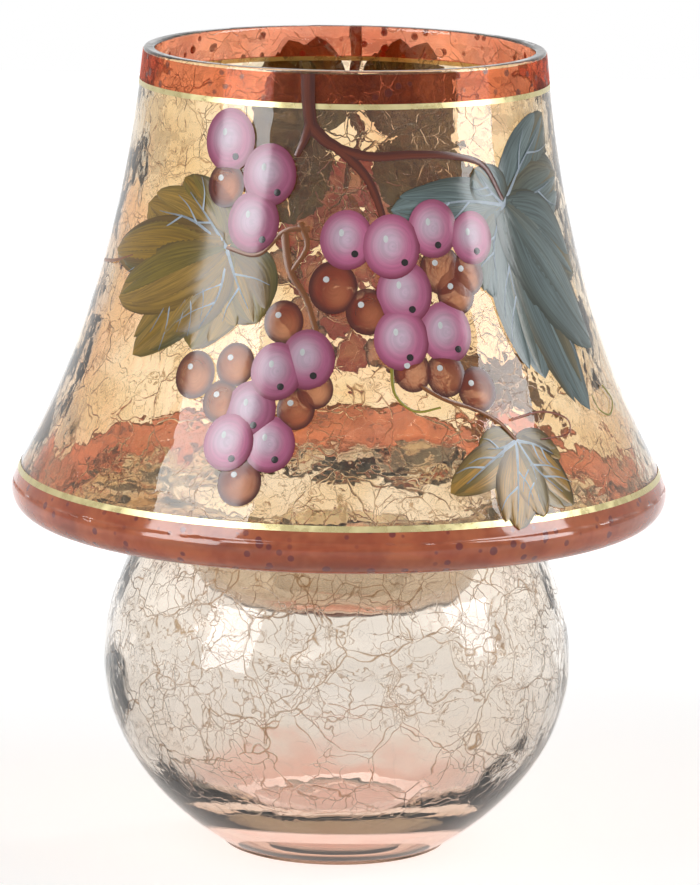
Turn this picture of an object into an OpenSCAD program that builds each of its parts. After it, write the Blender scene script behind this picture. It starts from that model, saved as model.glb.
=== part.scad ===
// Tea light holder in blown glass, in millimetres.
// A ball-shaped base stands on a thick flat foot and is open at a ground mouth.
// The flared shade is one blown piece: wall, rolled hem, floor and candle dish.
// Its floor rests on the ball's mouth, its dish hangs inside, and a tea light stands in the dish.
// The origin is the centre of the foot's underside, and +Z is up the common axis.

/* [Globe base] */
// Outer radius of the ball at its widest
globe_r = 58.6; // [55:0.1:75]
// Height of the widest point above the table
globe_mid = 47; // [44:0.5:52]
// Wall of the blown ball
globe_glass = 3; // [2:0.1:4]
// Height of the ground mouth, where the shade sits
seat_z = 86; // [82:0.5:92]
// Height of the ground lip inside the mouth
lip_h = 1; // [0.6:0.1:2]
// Outer radius of the foot
foot_r = 28.4; // [24:0.1:32]
// Rounding of the foot's edge
foot_edge = 1; // [0.6:0.1:2]
// Glass from the table up to the inside of the ball
foot_glass = 8; // [6:0.5:11]
// Radius of the hollow under the foot
punt_r = 19; // [14:0.5:21]
// Depth of the hollow under the foot
punt_depth = 1.6; // [0.8:0.1:3]
// Angle at which the ball leaves the foot
foot_flare = 30; // [20:1:40]
// How far that angle carries on
foot_pull = 5.7; // [3:0.1:9]
// How far the widest point's upright carries down
belly_pull = 27.1; // [22:0.1:30]
// Radius of the flat inside the bottom
inside_flat_r = 12; // [8:0.5:15]
// How far the inside runs flat before it rises
inside_pull = 24; // [20:0.5:25]

/* [Shade] */
// Height of the shade's rim above its seat
shade_rise = 114.9; // [95:0.5:140]
// Outer radius at the rim
rim_r = 49.8; // [42:0.1:56]
// Wall of the blown shade
shade_glass = 3; // [2:0.1:4]
// Rounding of the rim's two edges
rim_edge = 0.8; // [0.4:0.1:0.9]
// Angle from upright at which the wall meets the rim
rim_lean = 5.7; // [2:0.1:12]
// Radius of the circle along which the hem is rolled
hem_mid_r = 75.8; // [72:0.1:90]
// Outer radius of the hem's roll
hem_roll = 6; // [5:0.1:8]
// How far the hem hangs below the seat
hem_drop = 1.6; // [0:0.1:3]
// Angle on the roll at which the wall leaves the hem
hem_turn = 20; // [5:1:35]
// How far the hem's direction carries up the wall
wall_low_pull = 9.6; // [4:0.1:25]
// How far the rim's direction carries down the wall
wall_high_pull = 69; // [50:0.5:75]
// Radius where the floor has become flat
floor_flat_r = 56; // [50:0.5:62]

/* [Candle dish] */
// Play between the dish and the ball's mouth, all round
dish_gap = 2.4; // [1:0.1:4]
// Depth of the dish below the seat, outside
dish_depth = 24; // [20:0.5:30]
// Radius of the bend from the floor into the dish
shoulder_r = 2; // [1:0.1:4]
// How far the dish's wall runs down before it curves in
dish_wall_pull = 12; // [8:0.5:16]
// How far the dish's bottom runs flat before it curves up
dish_floor_pull = 9; // [5:0.5:12]

/* [Tea light] */
// Play between the tea light's foot and the start of the dish's curve
cup_play = 5.8; // [3:0.1:7]
// Outer radius of the cup below its rim
cup_r = 18.2; // [17.5:0.1:19]
// Height of the cup
cup_h = 16; // [12:0.5:20]
// Draft of the cup's wall, from foot to rim
cup_draft = 0.6; // [0:0.1:1]
// Sheet that the cup is pressed from
cup_metal = 0.4; // [0.2:0.05:0.5]
// Radius of the cup's bottom corner
cup_corner = 1.6; // [1:0.1:3]
// Radius of the curled rim's wire
cup_curl = 0.6; // [0.5:0.05:1]
// How far the wax stays below the rim
wax_below = 2; // [1:0.1:4]
// Dip of the wax towards the wick
wax_dip = 0.6; // [0:0.1:1.2]
// Gap between the wax and what it was poured around
wax_gap = 0.05; // [0.02:0.01:0.2]
// Radius of the wick
wick_r = 0.8; // [0.6:0.05:1.2]
// Upright part of the wick, from the cup's floor
wick_upright = 19; // [18:0.5:24]
// Radius of the bend in the wick's end
wick_bend_r = 9; // [6:0.5:14]
// Angle of the bend in the wick's end
wick_bend = 30; // [10:1:60]
// Radius of the sustainer's disc
sustainer_r = 6.5; // [5:0.1:9]
// Sheet that the sustainer is pressed from
sustainer_metal = 0.3; // [0.2:0.05:0.5]
// Height of the sustainer's collar
collar_h = 4; // [3:0.1:6]

/* [Hidden] */
$fn = 96;

// Pieces in a curve, and in a small rounding
curve_steps = 14;
edge_steps = 4;
roll_steps = 10;

// The ball's upper half is part of a sphere: its radius at a height, in from the outer face by d
function ball_r(z, d) = sqrt(pow(globe_r - d, 2) - pow(z - globe_mid, 2));
mouth_r = ball_r(seat_z - lip_h, globe_glass);
dish_r = mouth_r - dish_gap;
shoulder = min(shoulder_r, dish_gap);
dish_flat_r = cup_r + cup_play;
dish_floor_z = seat_z - dish_depth + shade_glass;
hem_mid_z = seat_z - hem_drop + hem_roll;
cup_floor_z = dish_floor_z + cup_metal;
wick_hole_r = wick_r + wax_gap;
collar_r = wick_hole_r + sustainer_metal;

// A point on a cubic curve through four control points, and the direction there
function along(p, s) = pow(1 - s, 3) * p[0] + 3 * pow(1 - s, 2) * s * p[1]
    + 3 * (1 - s) * s * s * p[2] + pow(s, 3) * p[3];
function heading(p, s) = let (v = pow(1 - s, 2) * (p[1] - p[0]) + 2 * (1 - s) * s * (p[2] - p[1])
    + s * s * (p[3] - p[2])) v / norm(v);
// The same curve moved to its right by d, which keeps a wall's thickness even
function curve(p, d) = [for (i = [0 : curve_steps]) let (s = i / curve_steps, v = heading(p, s))
    along(p, s) + d * [v[1], -v[0]]];
function turn(c, r, a0, a1, steps) = [for (i = [0 : steps]) let (a = a0 + (a1 - a0) * i / steps)
    c + r * [cos(a), sin(a)]];
function reversed(p) = [for (i = [len(p) - 1 : -1 : 0]) p[i]];
function without_start(p) = [for (i = [1 : len(p) - 1]) p[i]];
function without_ends(p) = [for (i = [1 : len(p) - 2]) p[i]];
function pull(p, angle, far) = p + far * [cos(angle), sin(angle)];

// Globe base: foot, ball, ground mouth and the inside, which is thickest at the foot
module globe_base() {
    foot = [foot_r, foot_edge];
    outside = [foot, pull(foot, foot_flare, foot_pull),
        [globe_r, globe_mid - belly_pull], [globe_r, globe_mid]];
    inner_r = globe_r - globe_glass;
    inside = [[inner_r, globe_mid], [inner_r, globe_mid - inside_pull],
        [inside_flat_r + inside_pull, foot_glass], [inside_flat_r, foot_glass]];
    punt_arc_r = (punt_r * punt_r + punt_depth * punt_depth) / (2 * punt_depth);
    punt_half = asin(punt_r / punt_arc_r);
    mid = [0, globe_mid];
    bevel = lip_h / 2;
    color([0.93, 0.84, 0.74, 0.6]) rotate_extrude() polygon(concat(
        turn([0, punt_depth - punt_arc_r], punt_arc_r, 90, 90 - punt_half, edge_steps),
        turn([foot_r - foot_edge, foot_edge], foot_edge, -90, 0, edge_steps),
        without_ends(curve(outside, 0)),
        turn(mid, globe_r, 0, asin((seat_z - bevel - globe_mid) / globe_r), curve_steps),
        [[ball_r(seat_z, 0) - bevel, seat_z], [mouth_r, seat_z]],
        turn(mid, inner_r, asin((seat_z - lip_h - globe_mid) / inner_r), 0, curve_steps),
        without_ends(curve(inside, 0)),
        [[inside_flat_r, foot_glass], [0, foot_glass]]));
}

// The shade's outer face, from the rim down to the middle of the dish, moved into the glass by d
function shade_face(d) = let (
    rim = [rim_r, seat_z + shade_rise - rim_edge * (1 - sin(rim_lean))],
    hem_mid = [hem_mid_r, hem_mid_z],
    hem_top = pull(hem_mid, hem_turn, hem_roll),
    wall = [rim, pull(rim, rim_lean - 90, wall_high_pull),
        pull(hem_top, hem_turn + 90, wall_low_pull), hem_top],
    hem_low = hem_mid - [0, hem_roll],
    floor_flat = [floor_flat_r, seat_z],
    floor_pull = [(hem_mid_r - floor_flat_r) / 2, 0],
    bend_mid = [dish_r + shoulder, seat_z - shoulder],
    dish_top = [dish_r, seat_z - shoulder],
    dish_flat = [dish_flat_r, seat_z - dish_depth])
    concat(curve(wall, d),
        without_ends(turn(hem_mid, hem_roll - d, hem_turn, -90, roll_steps)),
        curve([hem_low, hem_low - floor_pull, floor_flat + floor_pull, floor_flat], d),
        turn(bend_mid, shoulder + d, 90, 180, edge_steps),
        without_start(curve([dish_top, dish_top - [0, dish_wall_pull],
            dish_flat + [dish_floor_pull, 0], dish_flat], d)),
        [[0, seat_z - dish_depth + d]]);

// Shade: one even wall, rounded over at the rim
module shade() {
    outer = shade_face(0);
    inner = shade_face(shade_glass);
    inward = rim_edge * (inner[0] - outer[0]) / shade_glass;
    rim = concat(
        turn(inner[0] - inward, rim_edge, 180 + rim_lean, 90, edge_steps),
        turn(outer[0] + inward, rim_edge, 90, rim_lean, edge_steps));
    color([0.92, 0.74, 0.42, 0.6]) rotate_extrude()
        polygon(concat(outer, reversed(inner), without_ends(rim)));
}

// The tea light cup's outer face from the middle of its foot up to height z, moved inwards by d
function cup_face(z, d) = let (foot = [cup_r - cup_draft - cup_corner, dish_floor_z + cup_corner])
    concat([[0, dish_floor_z + d]],
        turn(foot, cup_corner - d, -90, 0, edge_steps),
        [[cup_r - cup_draft * (dish_floor_z + cup_h - z) / (cup_h - cup_corner) - d, z]]);

// Tea light cup: pressed sheet with a curled rim
module tealight_cup() {
    curl_mid = [cup_r - cup_metal + cup_curl, dish_floor_z + cup_h - cup_curl];
    curl_end = acos(1 - cup_metal / cup_curl) - 180;
    color([0.93, 0.82, 0.55]) rotate_extrude() polygon(concat(
        cup_face(curl_mid[1] + cup_curl * sin(curl_end), 0),
        without_start(turn(curl_mid, cup_curl, curl_end, 180, roll_steps)),
        without_start(reversed(cup_face(curl_mid[1], cup_metal)))));
}

// Wax: fills the cup round the sustainer and the wick, and dips a little towards the wick
module tealight_wax() {
    level = dish_floor_z + cup_h - wax_below;
    side = cup_face(level, cup_metal + wax_gap);
    wax_r = side[len(side) - 1][0];
    room_r = sustainer_r + wax_gap;
    color([0.95, 0.93, 0.88]) rotate_extrude() polygon(concat(
        [[room_r, cup_floor_z + wax_gap]],
        without_start(side),
        [for (i = [1 : roll_steps]) let (r = wax_r + (wick_hole_r - wax_r) * i / roll_steps)
            [r, level - wax_dip * cos(90 * r / wax_r)]],
        [[wick_hole_r, cup_floor_z + collar_h + wax_gap],
            [collar_r + wax_gap, cup_floor_z + collar_h + wax_gap],
            [collar_r + wax_gap, cup_floor_z + sustainer_metal + wax_gap],
            [room_r, cup_floor_z + sustainer_metal + wax_gap]]));
}

// Wick sustainer: a disc on the cup's floor, drawn up into a collar round the wick
module wick_sustainer() {
    top = cup_floor_z + sustainer_metal;
    color([0.72, 0.72, 0.7]) rotate_extrude() polygon([[wick_hole_r, cup_floor_z],
        [sustainer_r, cup_floor_z], [sustainer_r, top], [collar_r, top],
        [collar_r, cup_floor_z + collar_h], [wick_hole_r, cup_floor_z + collar_h]]);
}

// Wick: upright through the collar and the wax, with a bent end
module wick() {
    color([0.88, 0.85, 0.78]) {
        translate([0, 0, cup_floor_z]) cylinder(r = wick_r, h = wick_upright);
        translate([wick_bend_r, 0, cup_floor_z + wick_upright]) rotate([90, 0, 180])
            rotate_extrude(angle = wick_bend) translate([wick_bend_r, 0]) circle(r = wick_r);
    }
}

globe_base();
shade();
tealight_cup();
tealight_wax();
wick_sustainer();
wick();
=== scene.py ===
# %% [markdown]
# A tea light holder in blown glass. The ball-shaped base is open at the top, the flared shade
# stands in its mouth, and a tea light stands in a dish that is blown into the shade's floor.
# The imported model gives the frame: every piece below is made in metres, in the same place.

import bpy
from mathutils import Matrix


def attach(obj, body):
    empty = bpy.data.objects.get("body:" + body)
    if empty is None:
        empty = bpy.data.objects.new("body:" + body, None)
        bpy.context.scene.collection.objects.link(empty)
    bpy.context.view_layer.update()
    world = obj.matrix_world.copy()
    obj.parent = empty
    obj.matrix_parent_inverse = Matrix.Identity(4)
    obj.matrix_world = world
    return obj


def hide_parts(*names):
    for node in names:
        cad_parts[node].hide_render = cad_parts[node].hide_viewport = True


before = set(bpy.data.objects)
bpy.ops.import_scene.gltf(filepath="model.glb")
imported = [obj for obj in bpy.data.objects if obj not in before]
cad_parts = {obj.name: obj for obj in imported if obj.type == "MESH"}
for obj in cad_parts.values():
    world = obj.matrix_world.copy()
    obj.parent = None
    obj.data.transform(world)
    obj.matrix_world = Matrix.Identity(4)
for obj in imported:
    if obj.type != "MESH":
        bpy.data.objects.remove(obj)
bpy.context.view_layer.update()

# %% Tools for the whole lesson
import math
import random

import bpy
import numpy as np
from mathutils import Vector, kdtree

SEED = 7
MM = 0.001

# %% [markdown]
# The camera stands 1.36 m away and looks down by about 11 degrees, as the picture was taken.
# A long lens keeps the shade's rim nearly a plain ellipse. The photographed lamp leans a
# little to the right, so the camera is rolled by less than a degree the other way.

# %% Camera
AIM = Vector((0, 0, 0.100))
CAMERA_AT = Vector((0, -1.3355, 0.3552))
LENS_MM = 221.3
PHOTO_LONG_SIDE = 885
AXIS_LEFT_OF_MIDDLE = 10.5
AIM_BELOW_MIDDLE = 6.3
CAMERA_ROLL = math.radians(0.8)

camera_data = bpy.data.cameras.new("camera")
camera = bpy.data.objects.new("camera", camera_data)
bpy.context.scene.collection.objects.link(camera)
camera.location = CAMERA_AT
camera.rotation_euler = (AIM - CAMERA_AT).to_track_quat("-Z", "Y").to_euler()
camera.rotation_euler.rotate_axis("Z", CAMERA_ROLL)
camera_data.lens = LENS_MM
camera_data.shift_x = AXIS_LEFT_OF_MIDDLE / PHOTO_LONG_SIDE
camera_data.shift_y = AIM_BELOW_MIDDLE / PHOTO_LONG_SIDE
camera_data.clip_start = 0.05
bpy.context.scene.camera = camera
bpy.context.scene.view_settings.view_transform = "Standard"
print("camera", round((AIM - CAMERA_AT).length, 3), "m away")

# %% [markdown]
# Materials are node trees, and a small helper keeps them readable: it adds one node, sets its
# options, and fills its inputs with plain values or with another node's output. A second
# helper starts a node group with named inputs and outputs, for effects that several
# materials share.

# %% Node helpers
def node(tree, kind, inputs=None, **options):
    made = tree.nodes.new("ShaderNode" + kind)
    for name, value in options.items():
        setattr(made, name, value)
    for socket, value in (inputs or {}).items():
        if isinstance(value, bpy.types.NodeSocket):
            tree.links.new(value, made.inputs[socket])
        else:
            made.inputs[socket].default_value = value
    return made


def math_node(tree, operation, *values):
    return node(tree, "Math", dict(enumerate(values)), operation=operation).outputs[0]


def vector_node(tree, operation, *values):
    made = node(tree, "VectorMath", dict(enumerate(values)), operation=operation)
    scalar = operation in ("DOT_PRODUCT", "LENGTH", "DISTANCE")
    return made.outputs["Value" if scalar else "Vector"]


def mix_colour(tree, share, first, second, blend="MIX"):
    made = tree.nodes.new("ShaderNodeMix")
    made.data_type = "RGBA"
    made.blend_type = blend
    for socket, value in ((made.inputs[0], share), (made.inputs[6], first), (made.inputs[7], second)):
        if isinstance(value, bpy.types.NodeSocket):
            tree.links.new(value, socket)
        else:
            socket.default_value = value
    return made.outputs[2]


def ease(tree, value, low, high, at_low=0.0, at_high=1.0):
    made = node(tree, "MapRange", {0: value, 1: low, 2: high, 3: at_low, 4: at_high},
                interpolation_type="SMOOTHSTEP")
    return made.outputs[0]


def noise(tree, vector, scale, detail=2.0, roughness=0.5):
    made = node(tree, "TexNoise", {"Vector": vector, "Scale": scale, "Detail": detail,
                                   "Roughness": roughness})
    return made


def start_group(name, inputs, outputs):
    tree = bpy.data.node_groups.new(name, "ShaderNodeTree")
    for label, (kind, value) in inputs.items():
        socket = tree.interface.new_socket(label, in_out="INPUT", socket_type="NodeSocket" + kind)
        if value is not None:
            socket.default_value = value
    for label, kind in outputs.items():
        tree.interface.new_socket(label, in_out="OUTPUT", socket_type="NodeSocket" + kind)
    return tree, tree.nodes.new("NodeGroupInput").outputs, tree.nodes.new("NodeGroupOutput").inputs


def use_group(tree, group, inputs):
    made = tree.nodes.new("ShaderNodeGroup")
    made.node_tree = group
    for socket, value in inputs.items():
        if isinstance(value, bpy.types.NodeSocket):
            tree.links.new(value, made.inputs[socket])
        else:
            made.inputs[socket].default_value = value
    return made.outputs


def start_material(name):
    material = bpy.data.materials.new(name)
    material.use_nodes = True
    tree = material.node_tree
    tree.nodes.clear()
    return material, tree, tree.nodes.new("ShaderNodeOutputMaterial").inputs


# %% [markdown]
# The studio is white. The camera, mirror-like surfaces and glass see a white room, and what
# the room gives to matt surfaces is set apart from that, so that colours stay as written.
# Two tall softboxes stand left and right in front: on the real shade they show as two long
# pale stripes. Towards the viewer the room is a little darker, as a real one is, because
# glass shows its shape only where it bends light from something darker.

# %% World
AMBIENT = 0.30
ROOM_WHITE = (1.0, 1.0, 1.0, 1)
ROOM_DIM = (0.80, 0.77, 0.74, 1)
WHITE_FROM, WHITE_FULL = 0.70, 0.92

world = bpy.data.worlds.new("studio")
bpy.context.scene.world = world
world.use_nodes = True
sky = world.node_tree
sky.nodes.clear()
toward = node(sky, "TexCoord").outputs["Generated"]
parts = node(sky, "SeparateXYZ", {0: toward}).outputs
backdrop = ease(sky, parts["Y"], WHITE_FROM, WHITE_FULL)
room = mix_colour(sky, backdrop, ROOM_DIM, ROOM_WHITE)
path = node(sky, "LightPath").outputs
seen = math_node(sky, "MAXIMUM", path["Is Glossy Ray"], path["Is Transmission Ray"])
ambient = node(sky, "Background", {"Color": (1, 1, 1, 1), "Strength": AMBIENT}).outputs[0]
studio = node(sky, "Background", {"Color": room, "Strength": 1.0}).outputs[0]
white = node(sky, "Background", {"Color": (1, 1, 1, 1), "Strength": 1.0}).outputs[0]
lit = node(sky, "MixShader", {0: seen, 1: ambient, 2: studio}).outputs[0]
final = node(sky, "MixShader", {0: path["Is Camera Ray"], 1: lit, 2: white}).outputs[0]
sky.links.new(final, sky.nodes.new("ShaderNodeOutputWorld").inputs["Surface"])

# %% Softboxes
SOFTBOX_AWAY = 1.4
SOFTBOX_TALL = 1.9
SOFTBOX_SHINE = 7.5
SOFTBOX_LIGHT = 2.6
SOFTBOX_TINT = (0.95, 0.98, 1.0)


def softbox(name, turn, wide):
    """Two lamps in one place: the strength that glossy surfaces mirror, and the one that lights."""
    for part, radiance in (("shine", SOFTBOX_SHINE), ("light", SOFTBOX_LIGHT)):
        data = bpy.data.lights.new(name + "_" + part, "AREA")
        data.shape = "RECTANGLE"
        data.size = wide
        data.size_y = SOFTBOX_TALL
        data.energy = radiance * wide * SOFTBOX_TALL * math.pi
        data.color = SOFTBOX_TINT
        lamp = bpy.data.objects.new(name + "_" + part, data)
        bpy.context.scene.collection.objects.link(lamp)
        angle = math.radians(turn)
        lamp.location = (SOFTBOX_AWAY * math.sin(angle), -SOFTBOX_AWAY * math.cos(angle), SOFTBOX_TALL / 2)
        aim = Vector((0, 0, 0.30)) - lamp.location
        lamp.rotation_euler = aim.to_track_quat("-Z", "Y").to_euler()
        lamp.visible_transmission = False
        lamp.visible_diffuse = part == "light"
        lamp.visible_glossy = part == "shine"


softbox("softbox_left", -55, 0.90)
softbox("softbox_right", 76, 0.66)

# %% Floor
FLOOR_R = 1.6
FLOOR_GLOW = 0.60
GLOW_FROM, GLOW_TO = 0.16, 0.42
FLOOR_SIDES = 0.80

floor_mesh = bpy.data.meshes.new("floor")
corners = [(FLOOR_R * x, FLOOR_R * y, 0) for x, y in ((-1, -1), (1, -1), (1, 1), (-1, 1))]
floor_mesh.from_pydata(corners, [], [(0, 1, 2, 3)])
floor = bpy.data.objects.new("floor", floor_mesh)
bpy.context.scene.collection.objects.link(floor)
material, tree, output = start_material("studio_floor")
place = node(tree, "TexCoord").outputs["Object"]
away = vector_node(tree, "LENGTH", place)
direction = math_node(tree, "DIVIDE", node(tree, "SeparateXYZ", {0: place}).outputs["Y"], away)
path = node(tree, "LightPath").outputs
seen = math_node(tree, "MAXIMUM", path["Is Glossy Ray"], path["Is Transmission Ray"])
seen = math_node(tree, "MULTIPLY", seen, ease(tree, direction, WHITE_FROM, WHITE_FULL, FLOOR_SIDES, 1.0))
seen = math_node(tree, "MAXIMUM", path["Is Camera Ray"], seen)
glow = math_node(tree, "MULTIPLY", seen, ease(tree, away, GLOW_FROM, GLOW_TO, FLOOR_GLOW, 1.0))
emission = node(tree, "Emission", {"Color": (1, 1, 1, 1), "Strength": glow}).outputs[0]
matt = node(tree, "BsdfDiffuse", {"Color": (0.8, 0.8, 0.8, 1)}).outputs[0]
tree.links.new(node(tree, "AddShader", {0: emission, 1: matt}).outputs[0], output["Surface"])
floor_mesh.materials.append(material)
print("studio ready")

# %% [markdown]
# Blown glass is a turned shape, so both pieces start as an outline in a half plane: distance
# from the axis and height. Each outline is a chain of smooth curves, and the inner face is the
# outer one moved in by the thickness of the wall. The sizes are those of the real pieces.

# %% Curves
def cubic(points, steps):
    """Points and directions along a cubic curve with four control points."""
    p = np.array(points, float)
    s = np.linspace(0, 1, steps + 1)[:, None]
    place = (1 - s) ** 3 * p[0] + 3 * (1 - s) ** 2 * s * p[1] + 3 * (1 - s) * s * s * p[2] + s ** 3 * p[3]
    way = (1 - s) ** 2 * (p[1] - p[0]) + 2 * (1 - s) * s * (p[2] - p[1]) + s * s * (p[3] - p[2])
    return place, way / np.linalg.norm(way, axis=1, keepdims=True)


def curve(points, steps, inward=0.0):
    place, way = cubic(points, steps)
    return place + inward * np.stack([way[:, 1], -way[:, 0]], axis=1)


def arc(middle, radius, start, end, steps):
    angle = np.radians(np.linspace(start, end, steps + 1))
    return np.array(middle) + radius * np.stack([np.cos(angle), np.sin(angle)], axis=1)


def straight(start, end, steps):
    share = np.linspace(0, 1, steps + 1)[:, None]
    return (1 - share) * np.array(start) + share * np.array(end)


def step_from(point, angle, far):
    return np.array(point) + far * np.array([math.cos(math.radians(angle)), math.sin(math.radians(angle))])


def joined(*pieces):
    """Chains the pieces, without the point that two of them share."""
    return np.concatenate([pieces[0]] + [piece[1:] for piece in pieces[1:]])


# %% Sizes of the glass
GLOBE_R, GLOBE_MID, GLOBE_GLASS = 0.0586, 0.047, 0.003
SEAT_Z, LIP_H = 0.086, 0.001
FOOT_R, FOOT_EDGE, FOOT_GLASS = 0.0284, 0.001, 0.008
PUNT_R, PUNT_DEPTH = 0.019, 0.0016
SHADE_RISE, RIM_R, RIM_LEAN, RIM_EDGE = 0.1149, 0.0498, 5.7, 0.0008
SHADE_GLASS = 0.003
HEM_MID_R, HEM_ROLL, HEM_DROP, HEM_TURN = 0.0758, 0.006, 0.0016, 20
FLOOR_FLAT_R = 0.056
DISH_GAP, DISH_DEPTH, DISH_FLAT_R, SHOULDER_R = 0.0024, 0.024, 0.024, 0.002
# A hair of air keeps two faces that rest on each other from lying in one plane
HAIR = 0.00003


def ball_r(z, radius):
    return math.sqrt(radius ** 2 - (z - GLOBE_MID) ** 2)


MOUTH_R = ball_r(SEAT_Z - LIP_H, GLOBE_R - GLOBE_GLASS)
DISH_R = MOUTH_R - DISH_GAP

# %% Outline of the globe
def globe_outline():
    """The face from the middle of the foot up to the mouth, and the one from there down inside."""
    foot = (FOOT_R, FOOT_EDGE)
    outside = [foot, step_from(foot, 30, 0.0057), (GLOBE_R, GLOBE_MID - 0.0271), (GLOBE_R, GLOBE_MID)]
    inner_r = GLOBE_R - GLOBE_GLASS
    inside = [(inner_r, GLOBE_MID), (inner_r, GLOBE_MID - 0.024), (0.036, FOOT_GLASS), (0.012, FOOT_GLASS)]
    punt_arc = (PUNT_R ** 2 + PUNT_DEPTH ** 2) / (2 * PUNT_DEPTH)
    punt_half = math.degrees(math.asin(PUNT_R / punt_arc))
    middle = (0, GLOBE_MID)
    top = SEAT_Z - HAIR
    bevel = LIP_H / 2
    outer_end = math.degrees(math.asin((top - bevel - GLOBE_MID) / GLOBE_R))
    inner_end = math.degrees(math.asin((top - LIP_H - GLOBE_MID) / inner_r))
    outer = joined(
        arc((0, PUNT_DEPTH - punt_arc), punt_arc, 90, 90 - punt_half, 10),
        straight((PUNT_R, 0), (FOOT_R - FOOT_EDGE, 0), 4),
        arc((FOOT_R - FOOT_EDGE, FOOT_EDGE), FOOT_EDGE, -90, 0, 6),
        curve(outside, 44),
        arc(middle, GLOBE_R, 0, outer_end, 40),
        arc((ball_r(top, GLOBE_R) - bevel, top - bevel), bevel, 40, 90, 4))
    inner = joined(
        straight((ball_r(top, GLOBE_R) - bevel, top), (MOUTH_R, top), 3),
        straight((MOUTH_R, top), (MOUTH_R, top - LIP_H), 2),
        arc(middle, inner_r, inner_end, 0, 40),
        curve(inside, 44),
        straight((0.012, FOOT_GLASS), (0, FOOT_GLASS), 6))
    return outer, inner


# %% Outline of the shade
def shade_wall(inward=0.0):
    """The wall's face from the rim down to where the hem's roll starts."""
    rim = np.array([RIM_R, SEAT_Z + SHADE_RISE - RIM_EDGE * (1 - math.sin(math.radians(RIM_LEAN)))])
    hem_top = step_from((HEM_MID_R, SEAT_Z - HEM_DROP + HEM_ROLL), HEM_TURN, HEM_ROLL)
    points = [rim, step_from(rim, RIM_LEAN - 90, 0.069), step_from(hem_top, HEM_TURN + 90, 0.0096), hem_top]
    return curve(points, 84, inward)


def shade_hem(inward=0.0):
    """The rolled hem's face, and on below it to the flat floor."""
    hem_mid = np.array([HEM_MID_R, SEAT_Z - HEM_DROP + HEM_ROLL])
    hem_low = hem_mid - (0, HEM_ROLL)
    floor_flat = np.array([FLOOR_FLAT_R, SEAT_Z])
    reach = np.array([(HEM_MID_R - FLOOR_FLAT_R) / 2, 0])
    return joined(
        arc(hem_mid, HEM_ROLL - inward, HEM_TURN, -90, 18),
        curve([hem_low, hem_low - reach, floor_flat + reach, floor_flat], 18, inward))


def shade_face(inward):
    """One face from the rim to the middle of the dish, moved into the glass by the distance."""
    bend = (DISH_R + SHOULDER_R, SEAT_Z - SHOULDER_R)
    dish_top = np.array([DISH_R, SEAT_Z - SHOULDER_R])
    dish_flat = np.array([DISH_FLAT_R, SEAT_Z - DISH_DEPTH])
    return joined(
        shade_wall(inward),
        shade_hem(inward),
        straight((FLOOR_FLAT_R, SEAT_Z + inward), (bend[0], SEAT_Z + inward), 12),
        arc(bend, SHOULDER_R + inward, 90, 180, 8),
        curve([dish_top, dish_top - (0, 0.012), dish_flat + (0.009, 0), dish_flat], 30, inward),
        straight((DISH_FLAT_R, SEAT_Z - DISH_DEPTH + inward), (0, SEAT_Z - DISH_DEPTH + inward), 10))


def shade_outline():
    """The face from the middle of the dish up to the rim, and the one from there down inside."""
    outer = shade_face(0.0)
    inner = shade_face(SHADE_GLASS - HAIR)
    inward = RIM_EDGE * (inner[0] - outer[0]) / np.linalg.norm(inner[0] - outer[0])
    up = joined(outer[::-1], arc(outer[0] + inward, RIM_EDGE, RIM_LEAN, 90, 5))
    down = joined(arc(inner[0] - inward, RIM_EDGE, 90, 180 + RIM_LEAN, 5), inner)
    return up, down


# %% [markdown]
# Crackle glass is blown, dipped in cold water while it glows, and heated again. The skin
# breaks into facets that tilt a little against each other. The relief here does the same to
# the mesh: seeds are scattered over the surface, every vertex belongs to its nearest seed,
# and each seed has a small slope of its own. Near the border two slopes are blended.

# %% Relief
def scatter(count, low, high, radius_at, draw):
    """Seeds spread over a turned surface between two heights."""
    seeds = []
    for _ in range(count):
        z = draw.uniform(low, high)
        angle = draw.uniform(0, math.tau)
        seeds.append(Vector((radius_at(z) * math.cos(angle), radius_at(z) * math.sin(angle), z)))
    return seeds


class Facets:
    """Slopes round scattered seeds, as a height that can be read at any point."""

    def __init__(self, seeds, slope, border, draw):
        self.seeds, self.border = seeds, border
        self.slopes = [slope * Vector([draw.uniform(-1, 1) for _ in range(3)]) for _ in seeds]
        self.tree = kdtree.KDTree(len(seeds))
        for index, seed in enumerate(seeds):
            self.tree.insert(seed, index)
        self.tree.balance()

    def height(self, point):
        (_, first, near), (_, second, far) = self.tree.find_n(point, 2)
        one = (point - self.seeds[first]).dot(self.slopes[first])
        two = (point - self.seeds[second]).dot(self.slopes[second])
        share = min(1.0, (far - near) / self.border)
        share = 0.5 + 0.5 * share * share * (3 - 2 * share)
        return share * one + (1 - share) * two


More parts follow.
